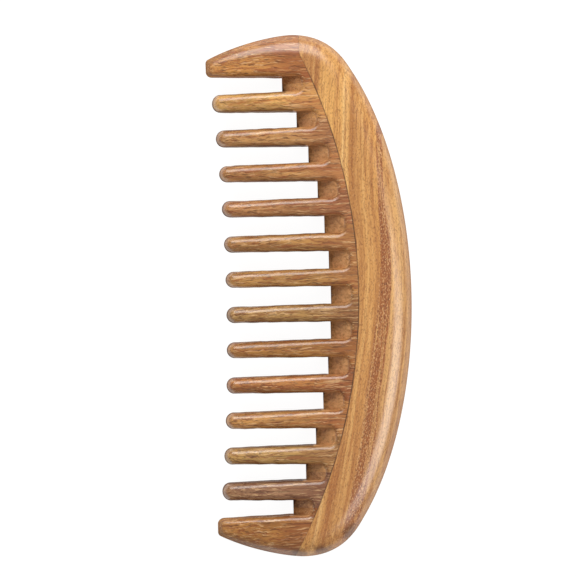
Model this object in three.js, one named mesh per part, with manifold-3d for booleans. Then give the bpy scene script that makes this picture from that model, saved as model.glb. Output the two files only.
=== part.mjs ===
// Wide tooth comb in wood: a curved back with a stopped groove in its inner edge, twelve tooth sticks and
// two guard teeth, each with a tongue let into the groove and glued side by side.
// Millimetres, +Z up. The comb lies flat: the long axis is Y, the teeth point to -X, the back is at +X.
import * as THREE from "three";
import { mergeVertices } from "three/addons/utils/BufferGeometryUtils.js";
import Module from "manifold-3d";

const wasm = await Module();
wasm.setup();

// Driving dimensions. In this section x is measured from the crown of the seam, where back and sticks meet.
const combLength = 150; // overall, along Y
const thickness = 12; // overall, along Z
const backWidth = 15.3; // seam crown to outer edge, at mid length
const webDepth = 7.9; // seam crown to the root of the middle gap
const toothLength = 30.2; // root of the middle gap to the tips
const toothCount = 12;

const seamRadius = 156;
const seamShift = 2.1; // centre of the seam arc, off the middle towards +Y
const seamStopX = -15.25; // near the +Y end the seam leaves its arc and runs straight out
const rootRadius = 155; // arc on which the gap roots lie
const tipRadius = 612; // arc on which the tips lie

const backArcX = 40.9; // half axis across, of the ellipse that the outer edge follows
const backArcOverrun = 7; // half axis along, beyond half the comb length
const cornerStart = 11; // outer edge leaves the ellipse this far before the end
const cornerHandles = [3.5, 11.5]; // Bezier handles, at the ellipse and at the crown of the end
const crownX = -17.5; // where the end is highest
const guardHandles = [4, 10.5]; // Bezier handles, at the crown and at the guard's tip
const guardTipDrop = 6.8; // outer corner of the guard's tip, in from the end
const guardTipSlope = 0.52;
const guardReach = 0.3; // guard tips stand out past the arc of the tips

const guardBlock = 14.16; // end of the comb to the centre of the first gap
const guardGapHalf = 2.1; // centre of the first gap to the guard, at its root
const guardTaper = 0.5; // extra gap beside the guard at its tip
const toothRootWidth = 5.15;
const toothTipWidth = 4.6;
const endToothExtra = 0.5; // the outermost sticks are this much wider
const tipHalfThickness = 3;
const tipNose = 2.3; // length of a tooth's rounded tip
const guardNose = { outer: 0.8, inner: 1.7, face: 2 }; // corner radii of a guard's tip

const edgeRound = 6; // width of the rounding along the outer edge
const edgeLand = 1; // flat left in the middle of the rounded edge
const guardTipRound = 2.4; // the same rounding, at a guard's tip
const toothRound = 1.2; // width of the rounding on a tooth's sides, at its root

const rampLength = 5.3; // ramp from the gap root up to its heel
const rampEdge = 0.5; // thickness left at the gap root
const rampHeel = 0.9; // depth of the ramp's upper end below the face
const heelRadius = 1.7; // corners of the ramp's upper end, seen from above

const glueLine = 0.3; // gap kept between glued faces
const tongueThickness = 4;
const tongueDepth = 4;
const tongueClearance = 0.3; // groove to tongue, all round
const grooveEndWall = 9; // solid wood left at each end of the groove

const arcSteps = 20; // pairs of segments along the seam
const roundSteps = 3; // segments in a quarter rounding
const edgeSteps = 12; // segments along each curve of the outer edge
const bodySteps = 4; // sections along a tooth between its nose and its root

// Sizes that follow.
const half = thickness / 2;
const end = combLength / 2;
const pitch = (combLength - 2 * guardBlock) / toothCount;
const grooveHalf = end - grooveEndWall;
const rampRise = half - rampHeel;
const well = 2 * combLength; // farther out than anything on the comb

const rowHalf = (pitch * toothCount) / 2; // middle of the comb to the centre of the first gap

const mix = (a, b, t) => a + (b - a) * t;
const arcDrop = (radius, y) => radius - Math.sqrt(radius ** 2 - y ** 2);
const gapRootX = (y) => -webDepth - arcDrop(rootRadius, y);
const tipX = (y) => -webDepth - toothLength - arcDrop(tipRadius, y);
const toothExtra = (y) => endToothExtra * (y / (rowHalf - pitch / 2)) ** 4;
const guardTip = new THREE.Vector2(tipX(end - guardTipDrop) - guardReach, end - guardTipDrop);

// What a quarter-round nose takes off a half width, at distance d behind the tip.
function noseCut(d, along, across) {
  return d < along ? across * (1 - Math.sqrt(1 - (1 - d / along) ** 2)) : 0;
}

function solid(geometry) {
  geometry.deleteAttribute("normal");
  geometry.deleteAttribute("uv");
  const merged = mergeVertices(geometry, 1e-4);
  const triVerts = new Uint32Array(merged.index.array);
  const vertProperties = merged.attributes.position.array;
  return new wasm.Manifold(new wasm.Mesh({ numProp: 3, vertProperties, triVerts }));
}

// An upright prism on a plan outline.
function prism(shape, low, high) {
  const settings = { depth: high - low, bevelEnabled: false, curveSegments: arcSteps };
  return solid(new THREE.ExtrudeGeometry(shape, settings).translate(0, 0, low));
}

function slab(x, y, z) {
  const box = new THREE.BoxGeometry(x[1] - x[0], y[1] - y[0], z[1] - z[0]);
  return solid(box.translate((x[0] + x[1]) / 2, (y[0] + y[1]) / 2, (z[0] + z[1]) / 2));
}

// ---- Outlines ----

// The two curves of one end, as drawn at +Y: from the ellipse over the crown, and on to the guard's tip.
function endCurves() {
  const backArcY = end + backArcOverrun;
  const startY = end - cornerStart;
  const across = Math.sqrt(1 - (startY / backArcY) ** 2);
  const start = new THREE.Vector2(backWidth - backArcX * (1 - across), startY);
  const along = new THREE.Vector2((-backArcX * startY) / backArcY ** 2 / across, 1).setLength(cornerHandles[0]);
  const crown = new THREE.Vector2(crownX, end);
  const tipHandle = new THREE.Vector2(1, guardTipSlope).setLength(guardHandles[1]);
  return {
    corner: new THREE.CubicBezierCurve(
      start,
      start.clone().add(along),
      new THREE.Vector2(crownX + cornerHandles[1], end),
      crown,
    ),
    guard: new THREE.CubicBezierCurve(
      crown,
      new THREE.Vector2(crownX - guardHandles[0], end),
      guardTip.clone().add(tipHandle),
      guardTip,
    ),
  };
}

// The outline that the back is shaped to: the ellipse and the end corners, then straight past the crowns.
function backOutline() {
  const { corner } = endCurves();
  const angle = Math.asin((end - cornerStart) / (end + backArcOverrun));
  const outline = new THREE.Shape();
  outline.absellipse(backWidth - backArcX, 0, backArcX, end + backArcOverrun, -angle, angle);
  outline.bezierCurveTo(corner.v1.x, corner.v1.y, corner.v2.x, corner.v2.y, crownX, end);
  outline.lineTo(guardTip.x, end);
  outline.lineTo(guardTip.x, -end);
  outline.lineTo(crownX, -end);
  outline.bezierCurveTo(corner.v2.x, -corner.v2.y, corner.v1.x, -corner.v1.y, corner.v0.x, -corner.v0.y);
  return outline;
}

// Plan of everything between the seam, moved out by offset, and a straight line at x = far.
function besideSeam(offset, far) {
  const radius = seamRadius + offset;
  const low = -Math.asin((end + edgeRound + seamShift) / radius);
  const high = Math.acos((seamRadius + seamStopX + offset) / radius);
  const plan = new THREE.Shape();
  plan.absarc(-seamRadius, seamShift, radius, low, high, false);
  plan.lineTo(seamStopX + offset, well);
  plan.lineTo(far, well);
  plan.lineTo(far, -end - edgeRound);
  return plan;
}

// ---- Rods: teeth and guards ----

// A section with a flat top and bottom and two half-round sides, drawn on a grid of radius 1.
function unitSection() {
  const section = new THREE.Shape();
  section.absarc(1, 0, 1, -Math.PI / 2, Math.PI / 2, false);
  section.absarc(-1, 0, 1, Math.PI / 2, 1.5 * Math.PI, false);
  return section;
}

// A rod along X. Each station has x, its sides low and high in y, the width of each side's rounding and
// half its thickness; the unit section is stretched to fit it.
function rod(stations) {
  const steps = stations.length - 1;
  const settings = { depth: steps, steps, bevelEnabled: false, curveSegments: roundSteps };
  const geometry = new THREE.ExtrudeGeometry(unitSection(), settings);
  const points = geometry.attributes.position;
  for (let i = 0; i < points.count; i++) {
    const [u, v] = [points.getX(i), points.getY(i)];
    const at = stations[Math.round(points.getZ(i))];
    const inset = 2 - Math.abs(u);
    const y = u > 0 ? at.high - at.highRound * inset : at.low + at.lowRound * inset;
    points.setXYZ(i, at.x, y, half + at.half * v);
  }
  return solid(geometry);
}

// Half thickness at the share u of the way from tip to root.
const halfAt = (u) => half - (half - tipHalfThickness) * Math.max(0, 1 - u) ** 1.5;

function noseDistances(nose) {
  return [0.06, 0.35, 0.7, 1].map((t) => nose * t ** 2);
}

function toothRod(y, root, endX) {
  const tip = tipX(y);
  const body = Array.from({ length: bodySteps }, (_, k) => mix(tipNose, root - tip, (k + 1) / bodySteps));
  const stations = [...noseDistances(tipNose), ...body, endX - tip].map((d) => {
    const u = Math.min(1, d / (root - tip));
    const wide = (mix(toothTipWidth, toothRootWidth, u) + toothExtra(y)) / 2;
    const a = wide - noseCut(d, tipNose, wide);
    const round = Math.min(a, mix(toothTipWidth / 2, toothRound, u));
    const thick = halfAt(u) - noseCut(d, tipNose, halfAt(u));
    return { x: tip + d, low: y - a, high: y + a, lowRound: round, highRound: round, half: thick };
  });
  return rod(stations);
}

// The guard at +Y (side 1) or -Y (side -1), from its tip along the comb's own outline past the seam.
function guardRod(side) {
  const { corner, guard } = endCurves();
  const inner = rowHalf + guardGapHalf;
  const root = gapRootX(rowHalf);
  const noseAt = (d) => new THREE.Vector2(guardTip.x + d, guardTip.y + d * guardTipSlope);
  const nose = noseDistances(guardNose.face).map(noseAt);
  const outside = [0.8, 0.6, 0.4, 0.2, 0].map((t) => guard.getPoint(t));
  const behind = [0.8, 0.6, 0.4, 0.2].map((t) => corner.getPoint(t));
  const stations = [...nose, ...outside, ...behind].map((p) => {
    const d = p.x - guardTip.x;
    const u = Math.min(1, d / (root - guardTip.x));
    const high = p.y - noseCut(d, guardNose.outer, guardNose.outer);
    const low = inner + guardTaper * (1 - u) + noseCut(d, guardNose.inner, guardNose.inner);
    const thick = halfAt(u) - noseCut(d, guardNose.face, guardNose.face);
    const lowRound = Math.min(toothRound, (high - low) / 3);
    const toCrown = Math.min(1, d / (crownX - guardTip.x));
    const highRound = Math.min(mix(guardTipRound, edgeRound, toCrown), high - low - lowRound);
    return side > 0
      ? { x: p.x, low, high, lowRound, highRound, half: thick }
      : { x: p.x, low: -high, high: -low, lowRound: highRound, highRound: lowRound, half: thick };
  });
  return rod(stations);
}

// ---- Webs: what stands between a tooth and the middle of the gap beside it ----

// The wedge under a gap's two ramps, over the stretch of y from one value to the other.
function rampWedge(root, from, to) {
  const heel = root + rampLength;
  const profile = new THREE.Shape();
  profile.moveTo(root, -rampEdge / 2);
  profile.lineTo(heel, -rampRise);
  profile.lineTo(heel + rampLength, -rampRise);
  profile.lineTo(heel + rampLength, rampRise);
  profile.lineTo(heel, rampRise);
  profile.lineTo(root, rampEdge / 2);
  const wedge = new THREE.ExtrudeGeometry(profile, { depth: to - from, bevelEnabled: false });
  return solid(wedge.rotateX(Math.PI / 2).translate(0, to, half));
}

// The full-thickness block behind the ramps on both sides of a stick: low and high are the stick's faces in
// y, each with the x of its gap's root and the y of the tooth or guard side where the ramp's corner ends.
function heelBlock(low, high) {
  const [a, b] = [low, high].map(({ root }) => root + rampLength);
  const r = heelRadius;
  const plan = new THREE.Shape();
  plan.moveTo(well, low.y);
  plan.lineTo(a, low.y);
  plan.absarc(a - r, low.side - r, r, 0, Math.PI / 2, false);
  plan.absarc(b - r, high.side + r, r, -Math.PI / 2, 0, false);
  plan.lineTo(b, high.y);
  plan.lineTo(well, high.y);
  const settings = { depth: thickness, bevelEnabled: false, curveSegments: roundSteps };
  return solid(new THREE.ExtrudeGeometry(plan, settings));
}

// ---- Sticks ----

const toothSide = prism(besideSeam(-glueLine / 2, -well), -1, thickness + 1);
const tonguePlan = prism(besideSeam(tongueDepth, -well), half - tongueThickness / 2, half + tongueThickness / 2);

// Cuts a stick to the seam and gives it its tongue, over the y range that it fills. The tongue starts where
// the ramps are as thick as it is, behind the root of the stick's shallower gap.
function fitToBack(stick, low, high, root) {
  const limit = grooveHalf - tongueClearance;
  const tongueRange = [Math.max(low, -limit), Math.min(high, limit)];
  const start = root + (rampLength * (tongueThickness - rampEdge)) / (2 * rampRise - rampEdge);
  const tongue = tonguePlan.intersect(slab([start, well], tongueRange, [0, thickness]));
  return stick.intersect(toothSide).add(tongue);
}

function toothStick(index) {
  const y = (index - (toothCount - 1) / 2) * -pitch;
  const low = y - pitch / 2;
  const high = y + pitch / 2;
  const roots = [gapRootX(low), gapRootX(high)];
  const rootLine = Math.min(...roots);
  const tooth = toothRod(y, rootLine, 0);
  const sideHalf = (toothRootWidth + toothExtra(y)) / 2;
  const faces = [low + glueLine / 2, high - glueLine / 2];
  const stick = tooth
    .add(rampWedge(roots[0], faces[0], y))
    .add(rampWedge(roots[1], y, faces[1]))
    .add(heelBlock(
      { y: faces[0], root: roots[0], side: y - sideHalf },
      { y: faces[1], root: roots[1], side: y + sideHalf },
    ));
  return fitToBack(stick, ...faces, Math.max(...roots));
}

function guardStick(side) {
  const root = gapRootX(rowHalf);
  const face = rowHalf + glueLine / 2;
  const inner = rowHalf + guardGapHalf;
  const core = inner + toothRound; // the web reaches in under the guard's rounded side
  const [from, to] = side > 0 ? [face, core] : [-core, -face];
  const plan = new THREE.Shape();
  const heel = root + rampLength;
  plan.moveTo(well, side * face);
  plan.lineTo(heel, side * face);
  plan.lineTo(heel, side * (inner - heelRadius));
  plan.quadraticCurveTo(heel, side * inner, heel - heelRadius, side * inner);
  plan.lineTo(heel - heelRadius, side * core);
  plan.lineTo(well, side * core);
  const block = prism(plan, 0, thickness);
  const stick = guardRod(side).add(rampWedge(root, from, to)).add(block);
  return fitToBack(stick, ...(side > 0 ? [face, well] : [-well, -face]), root);
}

// ---- Back ----

function back() {
  const settings = {
    depth: edgeLand,
    bevelThickness: half - edgeLand / 2,
    bevelSize: edgeRound,
    bevelOffset: -edgeRound,
    bevelSegments: roundSteps,
    curveSegments: edgeSteps,
  };
  const blank = solid(new THREE.ExtrudeGeometry(backOutline(), settings).translate(0, 0, half - edgeLand / 2));
  const groove = tongueThickness / 2 + tongueClearance;
  const groovePlan = prism(besideSeam(tongueDepth + tongueClearance, -well), half - groove, half + groove);
  const stopped = slab([-well, well], [-grooveHalf, grooveHalf], [0, thickness]);
  return blank
    .intersect(prism(besideSeam(glueLine / 2, well), -1, thickness + 1))
    .subtract(groovePlan.intersect(stopped));
}

// ---- Assembly ----

const backWood = new THREE.MeshStandardMaterial({ color: 0xcf9f63, roughness: 0.45, metalness: 0 });
const toothWood = new THREE.MeshStandardMaterial({ color: 0xa87847, roughness: 0.5, metalness: 0 });
const guardWood = new THREE.MeshStandardMaterial({ color: 0xa97241, roughness: 0.48, metalness: 0 });

function piece(name, form, material) {
  const { vertProperties, triVerts } = form.getMesh();
  const geometry = new THREE.BufferGeometry();
  geometry.setAttribute("position", new THREE.BufferAttribute(vertProperties, 3));
  geometry.setIndex(new THREE.BufferAttribute(triVerts, 1));
  geometry.computeVertexNormals();
  const mesh = new THREE.Mesh(geometry, material.clone());
  mesh.name = name;
  return mesh;
}

const comb = new THREE.Group();
comb.add(piece("back", back(), backWood));
for (let i = 0; i < toothCount; i++) {
  comb.add(piece("tooth_" + String(i + 1).padStart(2, "0"), toothStick(i), toothWood));
}
comb.add(piece("guard_tooth_left", guardStick(1), guardWood));
comb.add(piece("guard_tooth_right", guardStick(-1), guardWood));
comb.position.x = -(backWidth + guardTip.x) / 2; // origin under the middle of the comb

export default comb;
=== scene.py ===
# Looks of a wide tooth comb in oiled wood: the back, twelve tooth sticks and two guard teeth, in metres.
# The comb lies flat on its lower face. Its long axis is Y, the teeth point to -X and the back is at +X.
import math

import bpy
import numpy as np
from mathutils import Euler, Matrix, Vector


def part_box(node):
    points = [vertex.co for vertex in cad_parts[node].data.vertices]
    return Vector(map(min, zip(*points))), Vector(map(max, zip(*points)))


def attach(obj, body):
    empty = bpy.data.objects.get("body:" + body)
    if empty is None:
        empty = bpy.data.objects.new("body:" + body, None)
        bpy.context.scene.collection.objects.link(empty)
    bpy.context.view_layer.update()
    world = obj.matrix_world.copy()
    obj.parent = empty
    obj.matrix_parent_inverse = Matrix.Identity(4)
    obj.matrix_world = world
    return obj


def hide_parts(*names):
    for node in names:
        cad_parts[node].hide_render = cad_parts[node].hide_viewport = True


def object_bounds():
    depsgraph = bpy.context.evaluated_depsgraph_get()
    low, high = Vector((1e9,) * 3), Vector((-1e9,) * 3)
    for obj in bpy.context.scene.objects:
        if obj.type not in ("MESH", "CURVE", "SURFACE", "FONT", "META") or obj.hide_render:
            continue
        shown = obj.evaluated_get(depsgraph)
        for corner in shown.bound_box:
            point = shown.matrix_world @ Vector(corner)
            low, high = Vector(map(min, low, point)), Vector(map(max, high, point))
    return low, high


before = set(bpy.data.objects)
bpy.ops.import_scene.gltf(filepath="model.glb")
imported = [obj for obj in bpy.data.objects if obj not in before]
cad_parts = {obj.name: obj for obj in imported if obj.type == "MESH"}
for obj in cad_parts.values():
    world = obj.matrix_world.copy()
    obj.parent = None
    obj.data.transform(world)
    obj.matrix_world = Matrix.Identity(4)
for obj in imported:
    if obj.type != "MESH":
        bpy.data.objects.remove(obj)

CAD_LOW, CAD_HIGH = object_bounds()

# ---- Sizes ----

MM = 0.001
HALF = (CAD_HIGH.z - CAD_LOW.z) / 2
END = CAD_HIGH.y
TIPS = CAD_LOW.x  # the guards' tips

BACK_WIDTH = 15.3 * MM
SEAM_CROWN = CAD_HIGH.x - BACK_WIDTH
SEAM_RADIUS = 156 * MM
SEAM_SHIFT = 2.1 * MM
SEAM_STOP = SEAM_CROWN - 15.25 * MM  # near the +Y end the seam runs straight along Y
SEAM_GAP = 0.03 * MM
STICK_GAP = 0.01 * MM

WEB_DEPTH = 7.9 * MM
ROOT_RADIUS = 155 * MM
TOOTH_ROOT = 5.15 * MM
TOOTH_TIP = 4.6 * MM
TOOTH_LENGTH = 30 * MM
TIP_HALF = 3 * MM  # half thickness at the tips
TIP_NOSE = 2.3 * MM
TOOTH_ROUND = 1.7 * MM  # rounding at a tooth's root: its width and its depth
TOOTH_ROUND_DEPTH = 1.9 * MM
END_TOOTH_EXTRA = 0.5 * MM
RAMP_LENGTH = 5.3 * MM
RAMP_EDGE = 0.5 * MM
RAMP_RISE = HALF - 0.9 * MM
HEEL_RADIUS = 1.7 * MM

CROWN = SEAM_CROWN - 17.5 * MM  # where each end is highest
BACK_ARC_X = 40.9 * MM
BACK_ARC_Y = END + 7 * MM
CORNER_START = END - 11 * MM
CORNER_HANDLES = (3.5 * MM, 11.5 * MM)
GUARD_HANDLES = (4 * MM, 10.5 * MM)
GUARD_TIP_Y = END - 6.8 * MM
GUARD_TIP_SLOPE = 0.52
GUARD_GAP_HALF = 2.1 * MM
GUARD_TAPER = 0.5 * MM
GUARD_NOSE = 2 * MM
GUARD_CORNERS = (0.8 * MM, 1.7 * MM)  # outer and inner corner of a guard's tip, seen from above
EDGE_ROUND = 6.4 * MM
EDGE_LAND = 0.5 * MM  # upright stretch above and below the middle plane
GUARD_TIP_ROUND = 2.4 * MM

TONGUE_THICKNESS = 4 * MM
TONGUE_DEPTH = 4 * MM
TONGUE_CLEARANCE = 0.3 * MM
TONGUE_ROOT = 2 * MM  # how far a tongue starts inside its stick
TONGUE_INSET = 0.05 * MM  # from the sides of its stick
GROOVE_END_WALL = 9 * MM

TOOTH_UNEVEN = 0.38 * MM  # how far the hand-sanded sides of the teeth wander
PAST_SEAM = 2 * MM  # how far a stick's blank reaches over the seam, where it is cut
BACK_PAST_SEAM = 5 * MM
BACK_PAST_CROWN = 6 * MM
FAR_X = 100 * MM  # past the comb, along X and along Y
FAR_Y = 80 * MM

TOOTH_NAMES = sorted(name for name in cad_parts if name.startswith("tooth_"))
TOOTH_BOXES = [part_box(name) for name in TOOTH_NAMES]
PITCH = (TOOTH_BOXES[0][0].y - TOOTH_BOXES[-1][0].y) / (len(TOOTH_NAMES) - 1)
ROW_HALF = PITCH * len(TOOTH_NAMES) / 2


# ---- Node trees written as expressions ----

class Wire:
    """An output socket. Arithmetic on it adds the Math nodes that work the value out."""

    def __init__(self, tree, socket):
        self.tree = tree
        self.socket = socket

    def math(self, operation, *values, clamp=False):
        return self.tree.add("ShaderNodeMath", {"operation": operation, "use_clamp": clamp}, values)

    def __add__(self, other):
        return self.math("ADD", self, other)

    def __radd__(self, other):
        return self.math("ADD", other, self)

    def __sub__(self, other):
        return self.math("SUBTRACT", self, other)

    def __rsub__(self, other):
        return self.math("SUBTRACT", other, self)

    def __mul__(self, other):
        return self.math("MULTIPLY", self, other)

    def __rmul__(self, other):
        return self.math("MULTIPLY", other, self)

    def __truediv__(self, other):
        return self.math("DIVIDE", self, other)

    def __pow__(self, other):
        return self.math("POWER", self, other)

    def __neg__(self):
        return self.math("MULTIPLY", self, -1)

    def __gt__(self, other):
        return self.math("GREATER_THAN", self, other)

    def least(self, other):
        return self.math("MINIMUM", self, other)

    def most(self, other):
        return self.math("MAXIMUM", self, other)

    def root(self):
        return self.math("SQRT", self.most(0))

    def size(self):
        return self.math("ABSOLUTE", self)

    def sin(self):
        return self.math("SINE", self)

    def cos(self):
        return self.math("COSINE", self)

    def arccos(self):
        return self.math("ARCCOSINE", self)

    def share(self, low, high):
        """0 up to low, 1 from high on, and a straight line between them."""
        return ((self - low) / (high - low)).clamped()

    def clamped(self):
        return self.math("ADD", self, 0, clamp=True)

    def smooth(self, low, high):
        """As share, with a soft start and end."""
        settings = {"interpolation_type": "SMOOTHSTEP"}
        return self.tree.add("ShaderNodeMapRange", settings, {0: self, 1: low, 2: high, 3: 0, 4: 1})


class Tree:
    """A node tree. add makes any node: its settings first, then the values or links of its sockets."""

    def __init__(self, nodes):
        self.nodes = nodes

    def add(self, kind, settings=None, sockets=(), out=0):
        node = self.nodes.nodes.new(kind)
        for name, value in (settings or {}).items():
            if name == "stops":
                self.set_stops(node.color_ramp, value)
            else:
                setattr(node, name, value)
        pairs = sockets.items() if isinstance(sockets, dict) else enumerate(sockets)
        for key, value in pairs:
            self.feed(node.inputs[key], value)
        return None if out is None else Wire(self, node.outputs[out])

    def feed(self, socket, value):
        if isinstance(value, Wire):
            self.nodes.links.new(value.socket, socket)
        elif isinstance(value, list):
            for wire in value:
                self.nodes.links.new(wire.socket, socket)
        else:
            socket.default_value = value

    @staticmethod
    def set_stops(ramp, stops):
        while len(ramp.elements) < len(stops):
            ramp.elements.new(0.5)
        for element, (position, colour) in zip(ramp.elements, stops):
            element.position = position
            element.color = colour

    def vector(self, operation, *values):
        return self.add("ShaderNodeVectorMath", {"operation": operation}, values)

    def combine(self, x, y, z):
        return self.add("ShaderNodeCombineXYZ", {}, (x, y, z))

    def split(self, vector):
        first = self.add("ShaderNodeSeparateXYZ", {}, (vector,))
        outputs = first.socket.node.outputs
        return [Wire(self, outputs[name]) for name in ("X", "Y", "Z")]

    def mix(self, a, b, factor):
        return self.add("ShaderNodeMix", {"data_type": "FLOAT"}, {0: factor, 2: a, 3: b})

    def blend(self, a, b, factor):
        return self.add("ShaderNodeMix", {"data_type": "VECTOR"}, {0: factor, 4: a, 5: b}, out=1)

    def colour(self, a, b, factor):
        return self.add("ShaderNodeMix", {"data_type": "RGBA"}, {0: factor, 6: a, 7: b}, out=2)

    def noise(self, vector, stretch, detail=2.0, roughness=0.5):
        """Noise from about 0.2 to 0.8, with its own number of waves for each metre along X, Y and Z."""
        place = self.vector("MULTIPLY", vector, stretch)
        sockets = {"Vector": place, "Scale": 1.0, "Detail": detail, "Roughness": roughness}
        return self.add("ShaderNodeTexNoise", {}, sockets)

    def seam_x(self, y):
        """Where the middle of the glued seam lies at y."""
        arc = (SEAM_RADIUS ** 2 - (y - SEAM_SHIFT) ** 2).root() + (SEAM_CROWN - SEAM_RADIUS)
        return arc.most(y.least(0) + SEAM_STOP)


def linear(red, green, blue):
    """A colour given as on a screen, 0 to 255, as the linear values that a shader takes."""
    def channel(value):
        share = value / 255
        return share / 12.92 if share <= 0.04045 else ((share + 0.055) / 1.055) ** 2.4
    return (channel(red), channel(green), channel(blue), 1.0)


# ---- Wood ----

def new_wood(name):
    """A material with its tree, its shader and the place of each point in the comb's frame."""
    material = bpy.data.materials.new(name)
    material.use_nodes = True
    tree = Tree(material.node_tree)
    shader = material.node_tree.nodes["Principled BSDF"]
    shader.inputs["Specular IOR Level"].default_value = 0.3
    shader.inputs["Coat Roughness"].default_value = 0.26
    shader.inputs["Coat IOR"].default_value = 1.6
    place = tree.add("ShaderNodeTexCoord", {}, {}, out="Object")
    return material, tree, shader, place


def finish_wood(tree, shader, colour, roughness, height, coat):
    bump = tree.add("ShaderNodeBump", {}, {"Strength": 1.0, "Distance": 0.03 * MM, "Height": height})
    tree.feed(shader.inputs["Base Color"], colour)
    tree.feed(shader.inputs["Roughness"], roughness)
    tree.feed(shader.inputs["Coat Weight"], coat)
    tree.feed(shader.inputs["Normal"], bump)


def gap_place(tree, place):
    """Distance to the middle line of the nearest gap, distance behind its root, and 1 in the tooth row."""
    x, y, _ = tree.split(place)
    pitches = y / PITCH
    from_gap = (pitches - pitches.math("ROUND", pitches)).size() * PITCH
    root = (ROOT_RADIUS ** 2 - y * y).root() + (SEAM_CROWN - WEB_DEPTH - ROOT_RADIUS)
    in_row = 1 - y.size().smooth(ROW_HALF + 3 * MM, ROW_HALF + 4 * MM)
    return from_gap, x - root, in_row


def face_depth(tree, place):
    """Depth of a point below the comb's flat faces, whichever is nearer."""
    z = tree.split(place)[2]
    return HALF - (z - HALF).size()


def ramp_shade(tree, place):
    """1 in the sunk ramps between the teeth, 0 elsewhere on the sticks."""
    from_gap, behind, in_row = gap_place(tree, place)
    beside = 1 - from_gap.smooth(2.2 * MM, 3.0 * MM)
    below = face_depth(tree, place).smooth(0.25 * MM, 1.0 * MM)
    return beside * behind.smooth(-0.3 * MM, 0.3 * MM) * below * in_row


def seam_shade(tree, place):
    """1 in the fine dark line of the glued seam, 0 elsewhere. The line is finer towards the ends."""
    x, y, _ = tree.split(place)
    glue = tree.noise(place, (150, 150, 150))
    near = 1 - (x - tree.seam_x(y)).size().smooth(0.05 * MM, 0.28 * MM)
    return near * (0.15 + glue) * (1 - 0.7 * y.size().smooth(58 * MM, 68 * MM))


def outline_shade(tree, place, low, high):
    """1 low on the rounded sides and 0 on the faces: where painted shade darkens the sides, and where the end
    stains may reach.
    """
    z = tree.split(place)[2]
    return 1 - (z - HALF).size().smooth(low, high)


def side_shade(tree, place):
    """1 on the sides of the teeth, 0 on their faces: the same painted shade, where a side is upright."""
    from_gap, behind, in_row = gap_place(tree, place)
    taper = (TOOTH_ROOT - TOOTH_TIP) / 2 / TOOTH_LENGTH
    gap_half = (PITCH - TOOTH_ROOT) / 2 - behind.least(0) * taper
    beyond = from_gap - gap_half
    return (1 - beyond.smooth(0.05 * MM, 0.45 * MM)) * (1 - behind.smooth(-0.5 * MM, 0.5 * MM)) * in_row


END_STAINS = (  # x, y and radius of each, in millimetres
    (9.4, -68.2, 3.2), (1.6, -73.6, 3.6), (-6.0, -74.4, 3.0),
)


def end_stain(tree, place):
    """1 in the dark stains on the rounded edge of the -Y end, 0 elsewhere."""
    x, y, _ = tree.split(place)
    ragged = (tree.noise(place, (420, 420, 420)) - 0.5) * (5 * MM)
    stain = 0
    for at_x, at_y, radius in END_STAINS:
        away = ((x - at_x * MM) ** 2 + (y - at_y * MM) ** 2).root() + ragged
        stain = (1 - away.smooth(radius * 0.3 * MM, radius * MM)).most(stain)
    return stain * outline_shade(tree, place, 4.4 * MM, 5.8 * MM)


DEEP_SHARES = (0.81, 0.78, 0.76)  # of the red, green and blue of a stick's light shade
RED_SHARES = (0.75, 0.60, 0.55)


def deepened(shade, shares):
    return linear(*(part * share for part, share in zip(shade, shares)))


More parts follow.
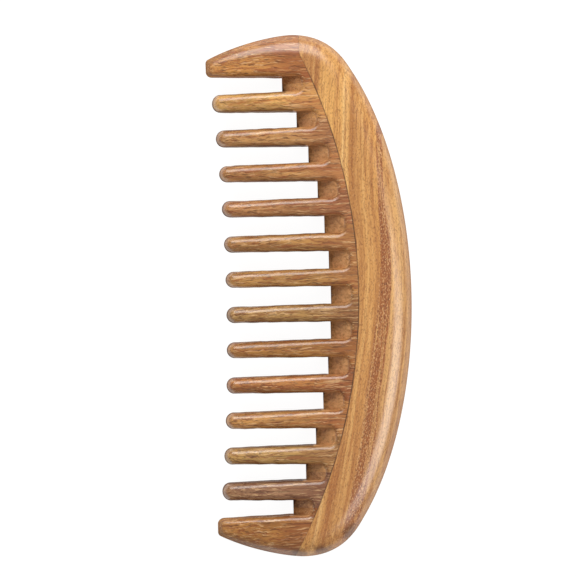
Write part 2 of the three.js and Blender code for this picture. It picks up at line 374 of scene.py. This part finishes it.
def stick_wood(name, shade, seed, low_side_top, darkening):
    """Oiled wood with its grain along X: light and deep figure, red streaks, fine fibres and open pores.

    The painted shade on its sides fades out at low_side_top above and below the middle plane.
    """
    material, tree, shader, place = new_wood(name)
    x, y, _ = tree.split(place)
    moved = tree.vector("ADD", place, (seed * 0.31, seed * 0.17, seed * 0.053))
    sway = tree.noise(moved, (45, 60, 60), detail=1.0)
    ripple = tree.noise(moved, (260, 220, 220))
    curl = tree.noise(moved, (700, 500, 500), detail=1.0)
    lift = (sway - 0.5) * (3 * MM) + (ripple - 0.5) * (0.9 * MM) + (curl - 0.5) * (0.4 * MM)
    swayed = tree.vector("ADD", moved, tree.combine(0, lift, lift * 0.4))
    figure = tree.noise(swayed, (22, 240, 240), detail=3.0, roughness=0.55)
    streak = tree.noise(swayed, (75, 1500, 1500), detail=4.0, roughness=0.7)
    pale = tree.noise(swayed, (110, 1900, 1900), detail=3.0, roughness=0.7)
    fibre = tree.noise(swayed, (190, 2600, 2600), roughness=0.6)
    pore = tree.noise(swayed, (620, 4200, 4200), detail=1.0)
    red = deepened(shade, RED_SHARES)
    toned = tree.colour(deepened(shade, DEEP_SHARES), linear(*shade), figure.smooth(0.38, 0.62))
    behind = gap_place(tree, place)[1]
    base = tree.colour(toned, red, behind.smooth(-4 * MM, 4 * MM) * 0.55)
    reddened = tree.colour(base, red, streak.smooth(0.48, 0.60) * 0.85)
    dusted = tree.colour(reddened, linear(236, 192, 138), pale.smooth(0.53, 0.65) * 0.55)
    darkened = tree.colour(dusted, linear(92, 48, 20), (1 - fibre.smooth(0.34, 0.47)) * 0.7)
    pores = pore.smooth(0.60, 0.68)
    pored = tree.colour(darkened, linear(58, 28, 12), pores * 0.42)
    worn = x.smooth(TIPS + 7 * MM, TIPS) * pale
    polished = tree.colour(pored, linear(214, 162, 104), worn * 0.4)
    # painted shade: the rounded and upright sides are darkened; the same mask also makes them rougher and
    # takes their coat away
    low_side = outline_shade(tree, place, 0.5 * MM, low_side_top).most(side_shade(tree, place) * 0.6)
    side_shaded = tree.colour(polished, linear(72, 35, 14), low_side * darkening)
    stained = tree.colour(side_shaded, linear(72, 38, 20), end_stain(tree, place) * 0.6)
    sunk = ramp_shade(tree, place)
    grime = tree.noise(swayed, (300, 1100, 1100), detail=3.0, roughness=0.6)
    near_end = y.size().smooth(40 * MM, 58 * MM)
    dust = sunk * (0.35 + 0.5 * grime.smooth(0.3, 0.7)) * (1 - 0.45 * near_end)
    dull = tree.colour(stained, linear(222, 164, 108), dust)
    pitted = tree.colour(dull, linear(104, 64, 38), sunk * (1 - grime.smooth(0.30, 0.5)) * 0.15)
    seamed = tree.colour(pitted, linear(44, 22, 10), seam_shade(tree, place))
    roughness = 0.26 + fibre * 0.12 + pores * 0.15 + sunk * 0.3 + low_side * 0.65
    height = fibre * 0.5 + streak * 0.4 - pores * 0.5 + sunk * grime * 0.8
    finish_wood(tree, shader, seamed, roughness, height, (1 - low_side) ** 2 * (1 - sunk * 0.6))
    return material


BACK_FIGURE = (  # colour of the back's wood, by the place across it at mid length
    (-10, (192, 130, 70)), (0.2, (204, 148, 84)), (0.7, (194, 136, 76)), (2.5, (188, 130, 72)),
    (3.0, (230, 172, 96)), (8.0, (230, 172, 96)), (8.4, (198, 138, 72)), (8.8, (232, 174, 98)),
    (9.8, (228, 170, 94)), (10.3, (245, 198, 128)), (10.9, (240, 186, 112)), (11.8, (216, 158, 88)),
    (12.3, (186, 126, 66)), (14.0, (190, 132, 72)), (14.5, (208, 150, 84)), (15.5, (206, 148, 82)),
    (15.9, (220, 166, 98)), (16.4, (208, 150, 84)), (18.6, (204, 144, 80)), (19.4, (214, 154, 84)),
    # the lighter stop at 25.4 mm is partly a painted sheen band, and the darker stops from 27 mm out are
    # partly painted shade on the rounded rim
    (22.6, (206, 152, 92)), (24.4, (208, 156, 96)), (25.4, (214, 166, 108)), (27, (196, 144, 86)),
    (30, (184, 130, 74)),
)


def back_wood():
    """Oiled wood with its grain along Y, bent with the back towards both ends: golden, with a red stripe."""
    material, tree, shader, place = new_wood("back_wood")
    x, y, _ = tree.split(place)
    low_part = (8 * MM - y).most(0)
    top_part = (y - 25 * MM).most(0)
    bend = low_part * low_part * 3.4 / (low_part * 10 + 1) - top_part * top_part
    sway = tree.noise(place, (25, 22, 25), detail=1.0)
    ripple = tree.noise(place, (160, 85, 160))
    curl = tree.noise(place, (800, 1000, 800), detail=1.0)
    shift = bend + (sway - 0.5) * (3 * MM) + (ripple - 0.5) * (1.2 * MM)
    swayed = tree.vector("ADD", place, tree.combine(shift, 0, 0))
    curled = tree.vector("ADD", swayed, tree.combine((curl - 0.5) * (0.55 * MM), 0, 0))
    across = x + shift
    first, last = BACK_FIGURE[0][0], BACK_FIGURE[-1][0]
    stops = [((at - first) / (last - first), linear(*shade)) for at, shade in BACK_FIGURE]
    base = tree.add("ShaderNodeValToRGB", {"stops": stops}, (across.share(first * MM, last * MM),))
    figure = tree.noise(swayed, (420, 14, 420), detail=3.0, roughness=0.6)
    line = tree.noise(swayed, (1300, 14, 1300))
    streak = tree.noise(curled, (1100, 60, 1100), detail=4.0, roughness=0.7)
    fibre = tree.noise(curled, (2500, 300, 2500), roughness=0.6)
    pore = tree.noise(curled, (3100, 1300, 3100), detail=1.0)
    fleck = tree.noise(curled, (3900, 1500, 3900), detail=1.0)
    spread = ((30 * MM - y) * 0.03 + 0.8 * MM).most(0.8 * MM).least(2.0 * MM)
    from_stripe = (across - 21.1 * MM + spread * 0.15).size() - spread
    stripe = 1 - from_stripe.smooth(-0.2 * MM, 0.2 * MM)
    striped = tree.colour(base, linear(146, 80, 42), stripe * 0.9)
    ends = y.smooth(-24 * MM, -56 * MM) * 0.4 + y.smooth(54 * MM, 68 * MM) * 0.3
    toned = tree.colour(striped, linear(160, 98, 50), ends)
    figured = tree.colour(toned, linear(172, 106, 52), figure.smooth(0.52, 0.66) * 0.5)
    lined = tree.colour(figured, linear(150, 88, 42), line.smooth(0.54, 0.64) * 0.4)
    pale_lined = tree.colour(lined, linear(240, 188, 116), (1 - line.smooth(0.36, 0.46)) * 0.35)
    lit = tree.colour(pale_lined, linear(236, 182, 112), (1 - streak.smooth(0.36, 0.46)) * 0.35)
    streaked = tree.colour(lit, linear(146, 84, 38), streak.smooth(0.54, 0.66) * 0.4)
    fibred = tree.colour(streaked, linear(132, 74, 34), fibre.smooth(0.52, 0.66) * 0.4)
    pores = pore.smooth(0.56, 0.64) * (0.36 + 0.26 * stripe)
    pored = tree.colour(fibred, linear(92, 44, 18), pores)
    flecks = fleck.smooth(0.54, 0.64) * (0.15 + 0.45 * stripe)
    flecked = tree.colour(pored, linear(226, 174, 120), flecks)
    low_side = outline_shade(tree, place, 0.8 * MM, 4.6 * MM)
    stained = tree.colour(flecked, linear(72, 38, 20), end_stain(tree, place) * 0.6)
    # lighter on the rounded rim: partly edge wear, partly painted light on the rim
    rim_wear_and_light = tree.colour(stained, linear(216, 160, 96), low_side * (1 - fibre.smooth(0.40, 0.60)) * 0.3)
    # painted shade low on the rounded sides of the back
    side_shaded = tree.colour(rim_wear_and_light, linear(128, 78, 38), low_side * 0.5)
    seamed = tree.colour(side_shaded, linear(50, 24, 10), seam_shade(tree, place))
    roughness = 0.26 + fibre * 0.12 + pores * 0.2 + low_side * 0.5
    height = fibre * 0.5 + streak * 0.3 - pores * 0.6
    finish_wood(tree, shader, seamed, roughness, height, (1 - low_side) * 0.85)
    return material


# ---- Lines that several pieces share ----

def bezier(points, count):
    """Points along a cubic curve."""
    a, b, c, d = (np.array(point) for point in points)
    t = np.linspace(0, 1, count)[:, None]
    return (1 - t) ** 3 * a + 3 * (1 - t) ** 2 * t * b + 3 * (1 - t) * t ** 2 * c + t ** 3 * d


def end_outline():
    """The outer edge of the +Y half, from mid length over the crown to the guard's tip corner."""
    middle = CAD_HIGH.x - BACK_ARC_X
    angle = np.linspace(0, math.asin(CORNER_START / BACK_ARC_Y), 400)
    ellipse = np.stack([middle + BACK_ARC_X * np.cos(angle), BACK_ARC_Y * np.sin(angle)], 1)
    start = ellipse[-1]
    across = math.sqrt(1 - (CORNER_START / BACK_ARC_Y) ** 2)
    heading = np.array([-BACK_ARC_X * CORNER_START / BACK_ARC_Y ** 2 / across, 1])
    heading *= CORNER_HANDLES[0] / np.linalg.norm(heading)
    crown = np.array([CROWN, END])
    corner = bezier((start, start + heading, crown + [CORNER_HANDLES[1], 0], crown), 160)
    tip = np.array([TIPS, GUARD_TIP_Y])
    back_along = np.array([1, GUARD_TIP_SLOPE]) * GUARD_HANDLES[1] / math.hypot(1, GUARD_TIP_SLOPE)
    guard = bezier((crown, crown - [GUARD_HANDLES[0], 0], tip + back_along, tip), 240)
    return np.concatenate([ellipse, corner[1:], guard[1:]])


HALF_OUTLINE = end_outline()
FULL_OUTLINE = np.concatenate([(HALF_OUTLINE * [1, -1])[:0:-1], HALF_OUTLINE])


def depth_inside(points):
    """Distance of each point from the outer edge."""
    starts, ends = FULL_OUTLINE[:-1], FULL_OUTLINE[1:]
    step = ends - starts
    found = np.full(len(points), 1.0)
    for first in range(0, len(points), 2000):
        some = points[first:first + 2000, None, :]
        t = np.clip(((some - starts) * step).sum(2) / (step ** 2).sum(1), 0, 1)
        near = starts + t[..., None] * step
        found[first:first + 2000] = np.sqrt(((some - near) ** 2).sum(2)).min(1)
    return found


def upper_height(points, root):
    """Half thickness at each point of the back and the guards: rounded to the outer edge and the tips."""
    x = points[:, 0]
    share = np.clip((x - TIPS) / (root - TIPS), 0, 1)
    nose = 1 - np.clip((x - TIPS) / GUARD_NOSE, 0, 1)
    thick = (HALF - (HALF - TIP_HALF) * (1 - share) ** 1.5) * np.sqrt(1 - nose ** 2)
    to_crown = np.clip((x - TIPS) / (CROWN - TIPS), 0, 1)
    width = GUARD_TIP_ROUND + (EDGE_ROUND - GUARD_TIP_ROUND) * to_crown
    inset = 1 - np.clip(depth_inside(points) / width, 0, 1)
    return thick * (1 - (1 - EDGE_LAND / HALF) * (1 - np.sqrt(1 - inset ** 2)))


def sheet(name, inner, outer, root, columns):
    """The upper face between two paths of equally many points, with its columns closer near the outer one."""
    share = np.sin(np.linspace(0, math.pi / 2, columns))
    share = 0.35 * np.linspace(0, 1, columns) + 0.65 * share
    points = inner[:, None, :] + (outer - inner)[:, None, :] * share[None, :, None]
    flat = points.reshape(-1, 2)
    height = upper_height(flat, root)
    rows = len(inner)
    corners = [(i * columns + j, i * columns + j + 1, (i + 1) * columns + j + 1, (i + 1) * columns + j)
               for i in range(rows - 1) for j in range(columns - 1)]
    mesh = bpy.data.meshes.new(name)
    mesh.from_pydata(np.column_stack([flat, height]).tolist(), [], corners)
    if sum(polygon.normal.z * polygon.area for polygon in mesh.polygons) < 0:
        mesh.flip_normals()
    return mesh


def gap_root(y):
    return SEAM_CROWN - WEB_DEPTH - ROOT_RADIUS + math.sqrt(ROOT_RADIUS ** 2 - y ** 2)


def station(stage, tip, root, nose):
    """Place along a stick, from its tip, through its nose and body, to where its heel's corner begins."""
    along = tip + stage["nose"] * stage["nose"] * nose
    along = along + stage["body"] * (root - tip - nose)
    return along + stage["ramp"] * (RAMP_LENGTH - HEEL_RADIUS)


# ---- Shapes made by node trees ----

ROWS = {"nose": (0, 10), "body": (10, 40), "ramp": (41, 51), "turn": (51, 61), "across": (61, 65)}
COLUMNS = {"flat": (0, 8), "rim": (8, 20), "wall": (20, 23), "floor": (23, 31)}
BACK_ROWS, BACK_COLUMNS = 420, 34
GUARD_COLUMNS = 30
MERGE = 0.002 * MM


class Shape(Tree):
    """A Geometry Nodes tree with one number input for each named size, besides the geometry."""

    def __init__(self, name, sizes):
        group = bpy.data.node_groups.new(name, "GeometryNodeTree")
        super().__init__(group)
        group.interface.new_socket("Geometry", in_out="INPUT", socket_type="NodeSocketGeometry")
        for size in sizes:
            group.interface.new_socket(size, in_out="INPUT", socket_type="NodeSocketFloat")
        group.interface.new_socket("Wood", in_out="INPUT", socket_type="NodeSocketMaterial")
        group.interface.new_socket("Geometry", in_out="OUTPUT", socket_type="NodeSocketGeometry")
        source = group.nodes.new("NodeGroupInput")
        self.geometry = Wire(self, source.outputs["Geometry"])
        self.sizes = {size: Wire(self, source.outputs[size]) for size in sizes}
        self.wood = Wire(self, source.outputs["Wood"])

    def finish(self, geometry):
        """Lifts the solid from its middle plane onto the floor and gives it its wood."""
        raised = self.add("GeometryNodeTransform", {}, {"Geometry": geometry, "Translation": (0, 0, HALF)})
        real = self.add("GeometryNodeRealizeInstances", {}, (raised,))
        done = self.add("GeometryNodeSetMaterial", {}, {"Geometry": real, "Material": self.wood})
        self.add("NodeGroupOutput", {}, (done,), out=None)

    def bar(self, x_low, x_high, y_low, y_high, thickness):
        """A bar along the seam, from x_low to x_high beside it."""
        sockets = {"Size": (1, 1, 1), "Vertices X": 2, "Vertices Y": 321, "Vertices Z": 2}
        cube = self.add("GeometryNodeMeshCube", {}, sockets)
        x, y, z = self.split(self.add("GeometryNodeInputPosition"))
        along = self.mix(y_low, y_high, y + 0.5)
        across = self.seam_x(along) + self.mix(x_low, x_high, x + 0.5)
        place = self.combine(across, along, z * thickness)
        return self.add("GeometryNodeSetPosition", {}, {"Geometry": cube, "Position": place})

    def boolean(self, operation, first, second):
        settings = {"operation": operation, "solver": "MANIFOLD"}
        if operation == "DIFFERENCE":
            return self.add("GeometryNodeMeshBoolean", settings, {0: first, 1: second})
        return self.add("GeometryNodeMeshBoolean", settings, {1: [first, second]})

    def merged(self, geometry):
        return self.add("GeometryNodeMergeByDistance", {}, {"Geometry": geometry, "Distance": MERGE})

    def joined(self, *parts):
        return self.add("GeometryNodeJoinGeometry", {}, {0: list(parts)})

    def closed(self, upper):
        """The solid between an upper face and its mirror image below; its open edges get upright walls."""
        upper = self.merged(upper)
        height = self.split(self.add("GeometryNodeInputPosition"))[2]
        faces = self.add("GeometryNodeInputMeshEdgeNeighbors")
        is_one = {"data_type": "INT", "operation": "EQUAL"}
        on_border = self.add("FunctionNodeCompare", is_one, {2: faces, 3: 1})
        raised = self.add("FunctionNodeCompare", {"operation": "GREATER_THAN"}, {0: height, 1: MERGE})
        open_edges = self.add("FunctionNodeBooleanMath", {"operation": "AND"}, (on_border, raised))
        sockets = {"Mesh": upper, "Selection": open_edges, "Offset Scale": 0}
        walled = self.add("GeometryNodeExtrudeMesh", {"mode": "EDGES"}, sockets)
        foot = Wire(self, walled.socket.node.outputs["Top"])
        x, y, _ = self.split(self.add("GeometryNodeInputPosition"))
        sockets = {"Geometry": walled, "Selection": foot, "Position": self.combine(x, y, 0)}
        dropped = self.add("GeometryNodeSetPosition", {}, sockets)
        lower = self.add("GeometryNodeTransform", {}, {"Geometry": dropped, "Scale": (1, 1, -1)})
        lower = self.add("GeometryNodeFlipFaces", {}, (lower,))
        return self.merged(self.joined(dropped, lower))

    def half_stick(self, side, tip, nose, centre_root, root, middle, edge, face,
                   side_nose, side_cut, round_tip):
        """Upper face of one side of a stick, from its middle line out to the joint with its neighbour.

        side is 1 towards +Y and -1 towards -Y. middle and edge are pairs of y, at the tip and at the root.
        """
        rows, columns = ROWS["across"][1], COLUMNS["floor"][1]
        sockets = {"Size X": rows, "Size Y": columns, "Vertices X": rows + 1, "Vertices Y": columns + 1}
        grid = self.add("GeometryNodeMeshGrid", {}, sockets)
        grid_x, grid_y, _ = self.split(self.add("GeometryNodeInputPosition"))
        row = grid_x + rows / 2
        column = grid_y + columns / 2
        stage = {name: row.share(*span) for name, span in ROWS.items()}
        group = {name: column.share(*span) for name, span in COLUMNS.items()}
        has_web = row > ROWS["body"][1] + 0.5

        x = station(stage, tip, root, nose)
        share = ((x - tip) / (centre_root - tip)).clamped()
        blunt = 1 - ((x - tip) / nose).clamped()
        side_blunt = 1 - ((x - tip) / side_nose).clamped()
        thick = (HALF - (HALF - TIP_HALF) * (1 - share) ** 1.5) * (1 - blunt * blunt).root()
        middle_y = self.mix(middle[0], middle[1], share)
        uneven = self.noise(self.combine(x, edge[1], side), (260, 90, 1)) - 0.5
        edge_y = self.mix(edge[0], edge[1], share) + uneven * TOOTH_UNEVEN
        edge_y = edge_y - side * side_cut * (1 - (1 - side_blunt * side_blunt).root())
        rounding = (edge_y - middle_y).size().least(self.mix(round_tip, TOOTH_ROUND, share))
        round_depth = thick.least(self.mix(TIP_HALF, TOOTH_ROUND_DEPTH, share))

        turn = stage["turn"] * (math.pi / 2)
        heading_x = turn.sin()
        heading_y = turn.cos() * -side
        hub_y = edge_y + side * HEEL_RADIUS + stage["across"] * (face - edge_y - side * HEEL_RADIUS)
        climb = ((x + heading_x * HEEL_RADIUS - root) / RAMP_LENGTH).clamped()
        floor = has_web * (RAMP_EDGE / 2 + (RAMP_RISE - RAMP_EDGE / 2) * climb)
        foot = (1 - (thick - floor) / round_depth.most(MERGE)).clamped().arccos()
        lean = group["rim"] * foot
        reach = HEEL_RADIUS + rounding * (1 - lean.sin())
        rim_height = thick - round_depth * (1 - lean.cos())
        rim_height = self.mix(rim_height, floor, group["wall"])
        rim = self.combine(x + heading_x * reach, hub_y + heading_y * reach, rim_height)

        spine_y = middle_y + stage["across"] * (face - middle_y)
        spine_x = station(stage, tip, centre_root, nose)
        spine_x = self.mix(spine_x, self.seam_x(spine_y) + PAST_SEAM, stage["turn"])
        spine = self.combine(spine_x, spine_y, thick)

        foot_reach = HEEL_RADIUS + rounding * (1 - foot.sin())
        past_ramp = row.share(ROWS["turn"][0], ROWS["across"][1])
        joint_x = x + foot_reach * past_ramp
        joint_climb = ((joint_x - root) / RAMP_LENGTH).clamped()
        joint = self.combine(joint_x, face, RAMP_EDGE / 2 + (RAMP_RISE - RAMP_EDGE / 2) * joint_climb)

        place = self.blend(spine, rim, group["flat"])
        place = self.blend(place, joint, group["floor"] * has_web)
        shaped = self.add("GeometryNodeSetPosition", {}, {"Geometry": grid, "Position": place})
        return shaped if side > 0 else self.add("GeometryNodeFlipFaces", {}, (shaped,))


def tooth_shape():
    """A tooth stick: its tooth, its share of the webs beside it with their ramps, and its tongue."""
    names = ["Middle", "Low face", "High face", "Tip", "Low root", "High root", "Extra width"]
    shape = Shape("tooth stick", names)
    size = shape.sizes
    centre_root = (size["Low root"] + size["High root"]) * 0.5
    sides = []
    for side, which in ((-1, "Low"), (1, "High")):
        root, face = size[which + " root"], size[which + " face"]
        half_tip = (size["Extra width"] + TOOTH_TIP) * 0.5
        half_root = (size["Extra width"] + TOOTH_ROOT) * 0.5
        edge = (size["Middle"] + half_tip * side, size["Middle"] + half_root * side)
        middle = (size["Middle"], size["Middle"])
        sides.append(shape.half_stick(side, size["Tip"], TIP_NOSE, centre_root, root, middle, edge, face,
                                      TIP_NOSE, half_tip, TOOTH_TIP / 2))
    body = shape.closed(shape.joined(*sides))
    beside = shape.bar(-FAR_X, -SEAM_GAP / 2, -FAR_Y, FAR_Y, 4 * HALF)
    cut = shape.boolean("INTERSECT", body, beside)
    ends = (size["Low face"] + TONGUE_INSET, size["High face"] - TONGUE_INSET)
    tongue = shape.bar(-TONGUE_ROOT, TONGUE_DEPTH, *ends, TONGUE_THICKNESS)
    fitted = shape.boolean("UNION", cut, tongue)
    shape.finish(fitted)
    return shape


def guard_shape(side):
    """A guard: its outer half comes in as geometry, and the inner half, web and tongue are made here."""
    names = ["Face", "Root", "Inner tip", "Inner root", "Middle tip", "Middle root", "Tongue end"]
    shape = Shape("guard", names)
    size = shape.sizes
    middle = (size["Middle tip"], size["Middle root"])
    edge = (size["Inner tip"], size["Inner root"])
    inner = shape.half_stick(-side, TIPS, GUARD_NOSE, size["Root"], size["Root"], middle, edge, size["Face"],
                             GUARD_CORNERS[1], GUARD_CORNERS[1], TOOTH_ROUND)
    body = shape.closed(shape.joined(shape.geometry, inner))
    beside = shape.bar(-FAR_X, -SEAM_GAP / 2, -FAR_Y, FAR_Y, 4 * HALF)
    cut = shape.boolean("INTERSECT", body, beside)
    ends = (size["Face"] + TONGUE_INSET * side, size["Tongue end"])
    tongue = shape.bar(-TONGUE_ROOT, TONGUE_DEPTH, *ends[::side], TONGUE_THICKNESS)
    fitted = shape.boolean("UNION", cut, tongue)
    shape.finish(fitted)
    return shape


def back_shape():
    """The back: its upper face comes in as geometry, reaching past the seam; it is cut and grooved here."""
    shape = Shape("back", ["Groove half length"])
    body = shape.closed(shape.geometry)
    beside = shape.bar(SEAM_GAP / 2, FAR_X, -FAR_Y, FAR_Y, 4 * HALF)
    cut = shape.boolean("INTERSECT", body, beside)
    reach = shape.sizes["Groove half length"]
    groove = shape.bar(-4 * MM, TONGUE_DEPTH + TONGUE_CLEARANCE, -reach, reach,
                       TONGUE_THICKNESS + 2 * TONGUE_CLEARANCE)
    grooved = shape.boolean("DIFFERENCE", cut, groove)
    shape.finish(grooved)
    return shape


def made(name, shape, wood, values, mesh=None):
    """A plain mesh object: the shape's tree run with these values, its modifier taken off again."""
    piece = bpy.data.objects.new(name, mesh or bpy.data.meshes.new(name))
    bpy.context.scene.collection.objects.link(piece)
    modifier = piece.modifiers.new("shape", "NODES")
    modifier.node_group = shape.nodes
    values = {**values, "Wood": wood}
    for item in shape.nodes.interface.items_tree:
        if item.in_out == "INPUT" and item.name in values:
            modifier[item.identifier] = values[item.name]
    bpy.context.view_layer.update()
    graph = bpy.context.evaluated_depsgraph_get()
    result = bpy.data.meshes.new_from_object(piece.evaluated_get(graph))
    piece.modifiers.remove(modifier)
    piece.data = result
    result.name = name
    result.shade_smooth()
    result.set_sharp_from_angle(angle=math.radians(35))
    return piece


# ---- Pieces ----

STICK_SHADES = (  # the light shade of each tooth stick's figure, from +Y to -Y
    (240, 185, 105), (205, 150, 90), (215, 155, 90), (200, 140, 85), (200, 145, 80), (210, 155, 85),
    (185, 140, 80), (200, 140, 70), (190, 125, 65), (215, 155, 85), (195, 150, 85), (160, 115, 80),
)
GUARD_SHADES = {1: (205, 140, 70), -1: (185, 125, 60)}
TOOTH_SIDE = (2.3 * MM, 0.9)  # how high the painted shade on the sides reaches, and how dark it is
GUARD_SIDE = (4.5 * MM, 0.3)


def fit(piece, node):
    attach(piece, "root")
    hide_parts(node)


def make_back():
    start = int(np.argmax(HALF_OUTLINE[:, 0] < CROWN - BACK_PAST_CROWN))
    low_half = (HALF_OUTLINE * [1, -1])[start:0:-1]
    outer = np.concatenate([low_half, HALF_OUTLINE[:start + 1]])
    steps = np.concatenate([[0], np.cumsum(np.linalg.norm(np.diff(outer, axis=0), axis=1))])
    share = np.linspace(0, 1, BACK_ROWS)
    outer = np.stack([np.interp(share * steps[-1], steps, outer[:, axis]) for axis in (0, 1)], 1)
    y = np.linspace(-1, 1, BACK_ROWS) * (END - GROOVE_END_WALL)
    x = SEAM_CROWN - BACK_PAST_SEAM - SEAM_RADIUS + np.sqrt(SEAM_RADIUS ** 2 - y ** 2)
    mesh = sheet("back", np.stack([x, y], 1), outer, gap_root(ROW_HALF), BACK_COLUMNS)
    piece = made("comb_back", back_shape(), back_wood(), {"Groove half length": END - GROOVE_END_WALL}, mesh)
    fit(piece, "back")


def make_teeth():
    shape = tooth_shape()
    for index, (name, (low, high)) in enumerate(zip(TOOTH_NAMES, TOOTH_BOXES)):
        middle = (low.y + high.y) / 2
        extra = END_TOOTH_EXTRA * (middle / (ROW_HALF - PITCH / 2)) ** 4
        wood = stick_wood(name + "_wood", STICK_SHADES[index], index + 1, *TOOTH_SIDE)
        values = {
            "Middle": middle,
            "Low face": middle - (PITCH - STICK_GAP) / 2,
            "High face": middle + (PITCH - STICK_GAP) / 2,
            "Tip": low.x,
            "Low root": gap_root(middle - PITCH / 2),
            "High root": gap_root(middle + PITCH / 2),
            "Extra width": extra,
        }
        fit(made("stick_" + name, shape, wood, values), name)


def make_guard(node, side, seed):
    wood = stick_wood(node + "_wood", GUARD_SHADES[side], seed, *GUARD_SIDE)
    root = gap_root(ROW_HALF)
    inner_root = ROW_HALF + GUARD_GAP_HALF
    middle_tip = GUARD_TIP_Y - 1.9 * MM  # the line where the guard's outer and inner halves meet
    middle_root = inner_root + 3 * MM
    stage = {name: np.clip((np.arange(ROWS["turn"][1] + 1) - low) / (high - low), 0, 1)
             for name, (low, high) in ROWS.items()}
    x = station(stage, TIPS, root, GUARD_NOSE)
    y_middle = middle_tip + (middle_root - middle_tip) * np.clip((x - TIPS) / (root - TIPS), 0, 1)
    y = middle_root - SEAM_SHIFT * side
    seam = SEAM_CROWN - SEAM_RADIUS + math.sqrt(SEAM_RADIUS ** 2 - y ** 2) + PAST_SEAM
    x = x + stage["turn"] * (seam - x)
    outline = HALF_OUTLINE[::-1]
    y_outer = np.interp(x, outline[:, 0], outline[:, 1])
    nose = 1 - np.clip((x - TIPS) / GUARD_CORNERS[0], 0, 1)
    y_outer -= GUARD_CORNERS[0] * (1 - np.sqrt(1 - nose ** 2))
    mesh = sheet(node, np.stack([x, y_middle * side], 1), np.stack([x, y_outer * side], 1), root,
                 GUARD_COLUMNS)
    values = {
        "Face": (ROW_HALF + STICK_GAP / 2) * side,
        "Root": root,
        "Inner tip": (inner_root + GUARD_TAPER) * side,
        "Inner root": inner_root * side,
        "Middle tip": middle_tip * side,
        "Middle root": middle_root * side,
        "Tongue end": (END - GROOVE_END_WALL - TONGUE_CLEARANCE) * side,
    }
    fit(made("stick_" + node, guard_shape(side), wood, values, mesh), node)


# ---- Floor, light and camera ----

def make_floor():
    mesh = bpy.data.meshes.new("floor")
    reach = 1.5
    mesh.from_pydata([(-reach, -reach, 0), (reach, -reach, 0), (reach, reach, 0), (-reach, reach, 0)], [],
                     [(0, 1, 2, 3)])
    floor = bpy.data.objects.new("floor", mesh)
    floor.location.z = CAD_LOW.z - 0.02 * MM
    bpy.context.scene.collection.objects.link(floor)
    material = bpy.data.materials.new("pale_floor")
    material.use_nodes = True
    shader = material.node_tree.nodes["Principled BSDF"]
    shader.inputs["Base Color"].default_value = (0.12, 0.12, 0.12, 1)
    shader.inputs["Roughness"].default_value = 0.9
    shader.inputs["Emission Color"].default_value = (1, 1, 1, 1)
    shader.inputs["Emission Strength"].default_value = 0.95
    mesh.materials.append(material)


def make_light(name, direction, distance, size, power):
    lamp = bpy.data.lights.new(name, "AREA")
    lamp.shape = "RECTANGLE"
    lamp.size, lamp.size_y = size
    lamp.energy = power
    holder = bpy.data.objects.new(name, lamp)
    bpy.context.scene.collection.objects.link(holder)
    way = Vector(direction).normalized()
    holder.location = way * distance
    holder.rotation_euler = way.to_track_quat("Z", "Y").to_euler()


def make_camera():
    roll = -0.027
    view_width = 165.8 * MM
    offset = Vector((6.79 * MM, -2.10 * MM, 0))
    data = bpy.data.cameras.new("camera")
    data.lens = 200
    data.sensor_width = 36
    data.clip_end = 10
    camera = bpy.data.objects.new("camera", data)
    bpy.context.scene.collection.objects.link(camera)
    turned = Euler((0, 0, roll))
    place = -(turned.to_matrix() @ offset)
    distance = view_width / 2 / (data.sensor_width / 2 / data.lens)
    camera.location = (place.x, place.y, HALF + distance)
    camera.rotation_euler = turned
    bpy.context.scene.camera = camera


def light_studio():
    world = bpy.data.worlds.new("studio")
    world.use_nodes = True
    world.node_tree.nodes["Background"].inputs["Color"].default_value = (1, 0.99, 0.97, 1)
    world.node_tree.nodes["Background"].inputs["Strength"].default_value = 0.27
    bpy.context.scene.world = world
    make_light("upper_softbox", (-0.05, 0.76, 0.65), distance=0.9, size=(0.9, 0.66), power=7.6)
    make_light("side_softbox", (0.63, -0.22, 0.74), distance=0.9, size=(0.45, 0.68), power=4)
    bpy.context.scene.view_settings.view_transform = "Standard"


make_camera()
light_studio()
make_floor()
make_back()
make_teeth()
make_guard("guard_tooth_left", 1, 21)
make_guard("guard_tooth_right", -1, 22)
